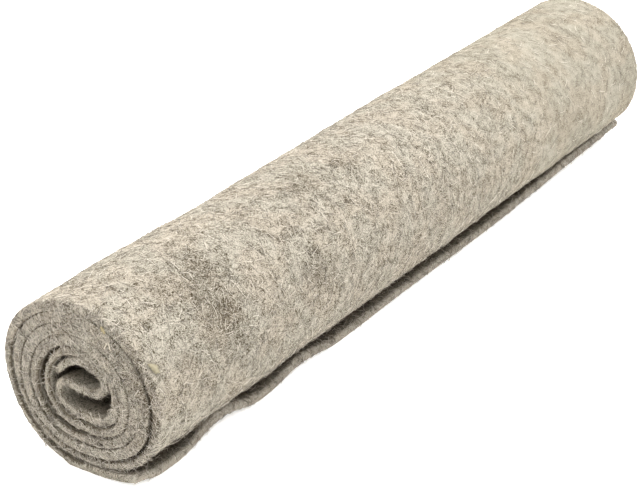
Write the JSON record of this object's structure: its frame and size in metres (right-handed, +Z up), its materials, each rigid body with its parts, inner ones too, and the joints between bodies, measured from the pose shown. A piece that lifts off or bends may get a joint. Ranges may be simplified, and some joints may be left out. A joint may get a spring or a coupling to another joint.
{
  "type": "roll of felt",
  "caption": "Roll of thick heathered wool felt, wound as a spiral round a folded-back inner end, lying on its loose outer end.",
  "frame": {"origin": "middle of the underside of the bounding box, on the surface that the roll rests on", "axes": "+X along the roll, away from the end with the visible spiral; +Z up; the loose end lies towards -Y"},
  "size_m": [0.3, 0.055, 0.0537],
  "materials": {
    "felt": "matt, fibrous"
  },
  "bodies": {
    "root": {"felt_sheet": "felt"}
  },
  "joints": []
}
